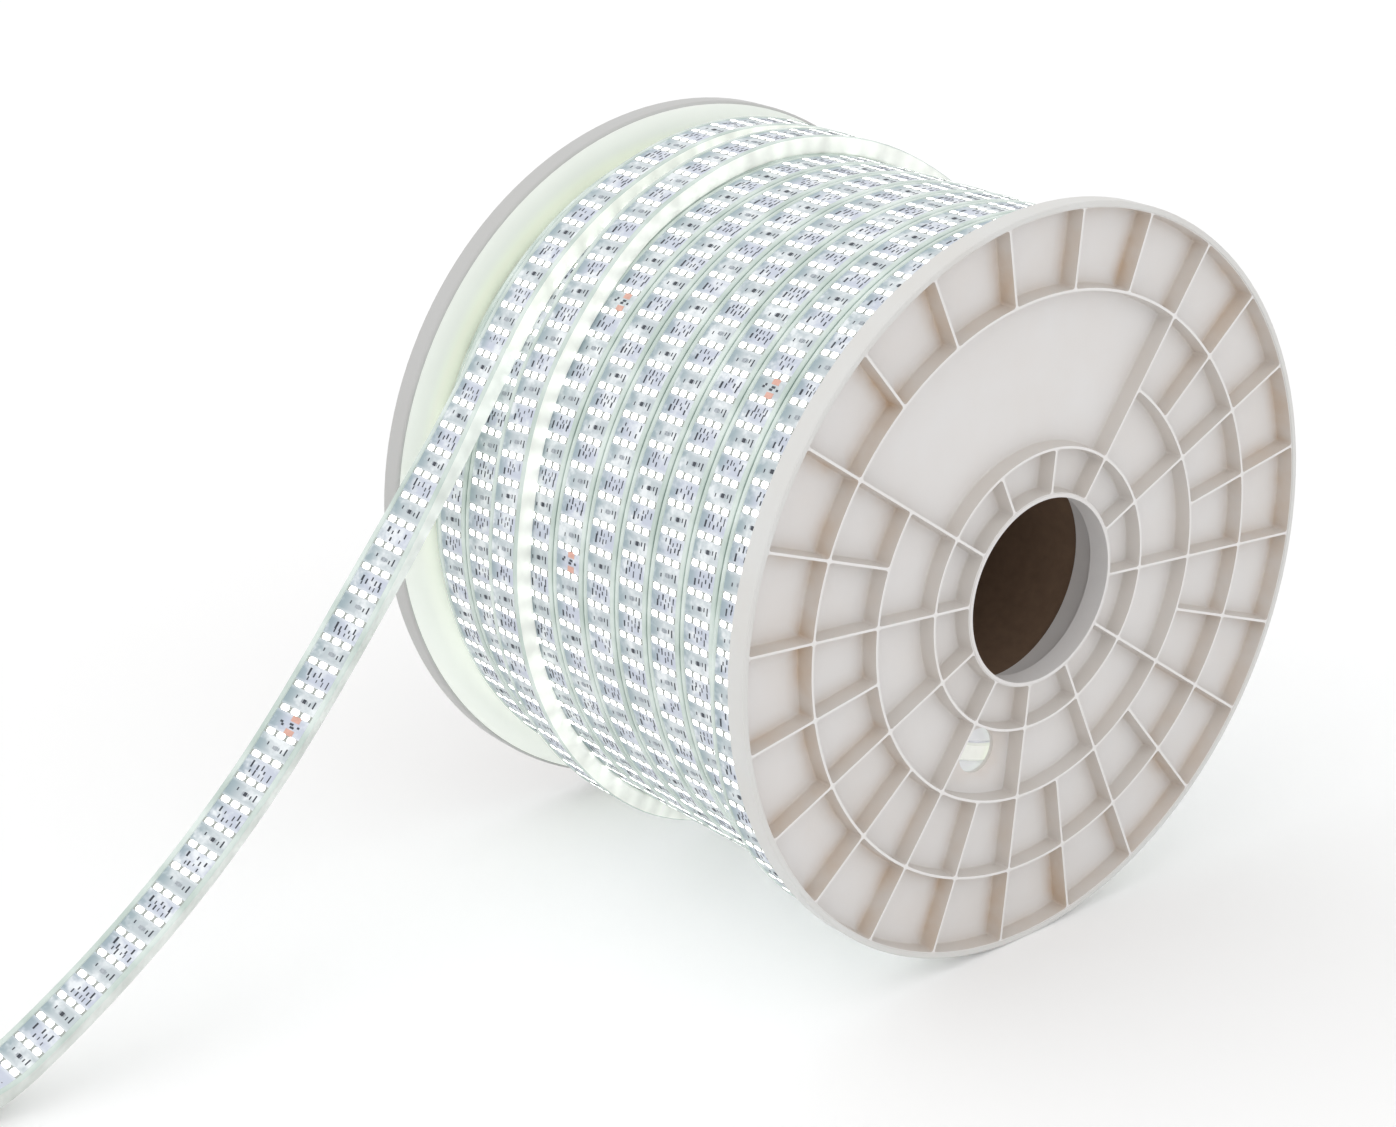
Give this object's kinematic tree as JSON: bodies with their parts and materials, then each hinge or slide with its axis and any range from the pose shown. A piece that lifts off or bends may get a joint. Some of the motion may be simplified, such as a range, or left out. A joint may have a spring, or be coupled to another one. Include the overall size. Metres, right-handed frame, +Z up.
{
  "type": "led strip light reel",
  "caption": "Flat three-row LED strip light wound in layers on a white plastic cable reel with ribbed flanges, its free end led down to the floor.",
  "frame": {"origin": "on the surface the reel stands on, straight below the middle of its axle", "axes": "+X along the axle, out of the flange whose ribs the picture shows; +Y across the reel, away from the strip's free end; +Z up"},
  "size_m": [0.2292, 0.6147, 0.3093],
  "materials": {
    "flange_plastic": "moulded white plastic, slightly satin",
    "core_card": "wound brown card, matte",
    "strip_jacket": "clear flexible plastic over a pale circuit board with white LEDs",
    "cap_plastic": "soft milky plastic"
  },
  "bodies": {
    "root": {"near_flange": "flange_plastic", "far_flange": "flange_plastic", "core_tube": "core_card", "led_strip_winding": "strip_jacket", "strip_tail": "strip_jacket", "strip_end_cap": "cap_plastic"}
  },
  "joints": []
}
